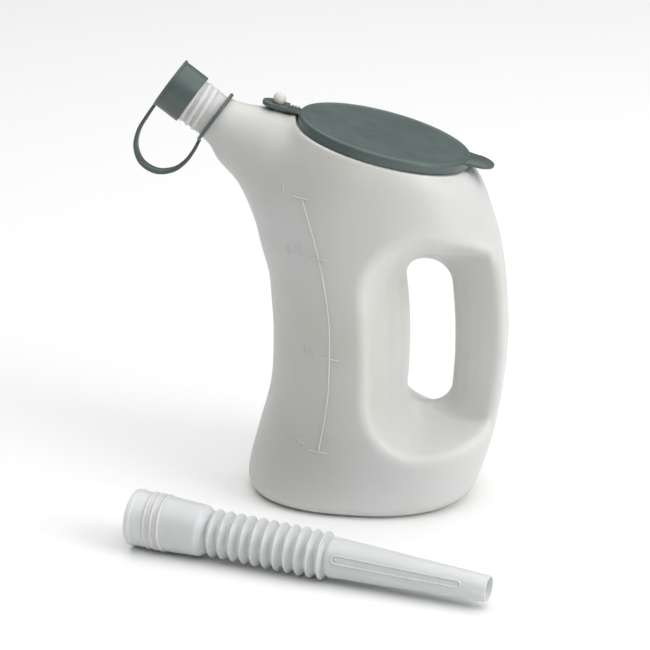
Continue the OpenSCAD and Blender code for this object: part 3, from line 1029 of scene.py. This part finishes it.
def add_bump(tree, shader, sources, strength):
    """Bump from (height source, depth in metres) pairs, one after the other."""
    normal = None
    for source, depth in sources:
        bump = tree.nodes.new("ShaderNodeBump")
        bump.inputs["Strength"].default_value = strength
        bump.inputs["Distance"].default_value = depth
        tree.links.new(source, bump.inputs["Height"])
        if normal is not None:
            tree.links.new(normal, bump.inputs["Normal"])
        normal = bump.outputs["Normal"]
    tree.links.new(normal, shader.inputs["Normal"])


@functools.cache
def natural_hdpe():
    """Milky undyed polyethylene: cloudy, satin, slightly uneven from the blow mould."""
    material, tree, shader = node_material(
        "milky_hdpe",
        Subsurface_Weight=0.6,
        Subsurface_Radius=(1.0, 0.95, 0.86),
        Subsurface_Scale=0.006,
        Transmission_Weight=0.1,
        IOR=1.5,
    )
    tint(tree, shader, noise(tree, 14, 3), (0.7, 0.69, 0.632), (0.78, 0.788, 0.768))
    vary_roughness(tree, shader, noise(tree, 60, 4), 0.36, 0.5)
    waves, grain = noise(tree, 45, 3), noise(tree, 900, 2)
    add_bump(tree, shader, [(waves, 0.00035), (grain, 0.00003)], 0.35)
    return material


@functools.cache
def dark_polyethylene():
    """Dark green-grey moulded polyethylene with a faint flow pattern and satin sheen."""
    material, tree, shader = node_material("green_grey_pe", IOR=1.5)
    flow = noise(tree, 35, 5, 0.6)
    tint(tree, shader, flow, (0.068, 0.096, 0.091), (0.09, 0.122, 0.117))
    vary_roughness(tree, shader, noise(tree, 120, 5), 0.33, 0.45)
    add_bump(tree, shader, [(noise(tree, 1500, 3), 0.00004)], 0.5)
    return material


@functools.cache
def clear_polyethylene():
    """Thin cloudy polyethylene of the loose spout, cooler and clearer than the jug."""
    material, tree, shader = node_material(
        "cloudy_pe",
        Subsurface_Weight=0.35,
        Subsurface_Radius=(0.95, 1.0, 1.0),
        Subsurface_Scale=0.002,
        Transmission_Weight=0.3,
        IOR=1.5,
    )
    tint(tree, shader, noise(tree, 40, 3), (0.84, 0.865, 0.87), (0.9, 0.92, 0.925))
    vary_roughness(tree, shader, noise(tree, 90, 4), 0.28, 0.42)
    add_bump(tree, shader, [(noise(tree, 160, 3), 0.0002)], 0.3)
    return material


@functools.cache
def pale_marks_and_painted_highlight():
    """Raised beads and marks of the same plastics, where it is thicker and looks whiter; on the
    bellows crests the same pale colour is a painted highlight.
    """
    material, tree, shader = node_material("raised_pe_and_painted_highlight", Roughness=0.4, IOR=1.5)
    tint(tree, shader, noise(tree, 80, 3), (0.62, 0.625, 0.61), (0.7, 0.71, 0.7))
    return material


def floor_material():
    """The matt white of the studio floor."""
    return node_material("pale_floor", Roughness=0.9, Base_Color=(0.93, 0.93, 0.93, 1))[0]


# ---- floor, lights and camera ----


def make_floor():
    """A wide plain floor at the height of the jug's foot."""
    half = 6.0
    mesh = bpy.data.meshes.new("floor")
    corners = [(-half, -half, 0), (half, -half, 0), (half, half, 0), (-half, half, 0)]
    mesh.from_pydata(corners, [], [(0, 1, 2, 3)])
    floor = coat(add_object("floor", mesh), floor_material())


# Soft lights: name, place, point aimed at, size in metres, power in watts
MIDDLE = (0, 0, 0.1)
LIGHTS = [
    ("overhead", (0.1, 0.6, 2.2), (0.1, 0.5, 0), (4.0, 4.0), 82),
    ("key_right", (1.2, -0.5, 0.7), MIDDLE, (0.7, 1.0), 10),
    ("rim_strip", (0.15, -1.2, 1.5), MIDDLE, (1.4, 0.15), 4),
]
WORLD_STRENGTH = 0.12


def point_along(thing, place, way):
    """Puts a light or the camera at a place, looking along a direction."""
    thing.location = place
    thing.rotation_mode = "QUATERNION"
    thing.rotation_quaternion = Vector(way).to_track_quat("-Z", "Y")


def add_area(name, place, aim, size, power):
    """A rectangular area light."""
    light = bpy.data.lights.new(name, "AREA")
    light.shape = "RECTANGLE"
    light.size, light.size_y = size
    light.energy = power
    point_along(add_object(name, light), place, Vector(aim) - Vector(place))


def make_lights():
    """A weak white world, a broad light over the floor, a key and a strip for the rims."""
    world = bpy.data.worlds.new("studio")
    bpy.context.scene.world = world
    world.use_nodes = True
    background = world.node_tree.nodes["Background"]
    background.inputs["Color"].default_value = (1, 1, 1, 1)
    background.inputs["Strength"].default_value = WORLD_STRENGTH
    for light in LIGHTS:
        add_area(*light)
    bpy.context.scene.view_settings.view_transform = "Standard"


CAMERA_AT = (0.1358, -1.0284, 0.4660)
CAMERA_ALONG = (-0.13890, 0.92937, -0.34202)
CAMERA_LENS = 120.8


def make_camera():
    """The camera, a metre in front, a little to the handle side and looking down 20 degrees."""
    data = bpy.data.cameras.new("camera")
    data.lens = CAMERA_LENS
    data.sensor_width = 36.0
    camera = add_object("camera", data)
    point_along(camera, CAMERA_AT, CAMERA_ALONG)
    bpy.context.scene.camera = camera


# ---- put together: what each piece rides on and which CAD node it replaces ----


def build_jug():
    """The blown jug with what is moulded onto it."""
    jug = make_jug()
    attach(jug, "jug")
    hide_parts("jug_body", "spout_neck")
    graduation = make_graduation(jug)
    thread = make_thread()
    stud = make_stud()
    for piece in (graduation, thread, stud):
        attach(piece, "jug")
    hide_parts("lid_stud")


def build_lid():
    """The lid's moulding: strap, film hinge and lid."""
    strap = make_strap()
    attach(strap, "jug")
    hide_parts("lid_strap")
    web = make_film_hinge()
    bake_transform(web)
    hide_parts("lid_film_hinge")
    lid = make_lid()
    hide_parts("lid")
    lid_pieces = [lid, make_tab(), make_tab_edge(), make_gate()]
    for piece in lid_pieces:
        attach(piece, "lid")


def build_cap():
    """The cap's moulding: cap, tether and ring."""
    cap = make_cap()
    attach(cap, "cap")
    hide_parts("spout_cap")
    ring = make_ring()
    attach(ring, "tether")
    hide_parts("tether_ring")
    tether = make_tether()
    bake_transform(tether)
    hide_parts("cap_tether")


def build_spout():
    """The loose spout: collar, bellows and nozzle."""
    collar, collar_thread = make_collar(), make_collar_thread()
    for piece in (collar, collar_thread):
        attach(piece, "spout")
    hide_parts("spout_collar")
    bellows = make_bellows()
    start, end = (SPOUT @ Vector((0, 0, s)) * MM for s in (COLLAR_L + 1, BELLOWS_END - 0.5))
    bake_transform(bellows)
    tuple(start)
    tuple(end)
    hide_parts("spout_bellows")
    nozzle, rib, dot = make_nozzle(), make_nozzle_rib(), make_nozzle_dot()
    for piece in (nozzle, rib, dot):
        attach(piece, "nozzle")
    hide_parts("spout_nozzle")


make_camera()
make_floor()
make_lights()
build_jug()
build_lid()
build_cap()
build_spout()
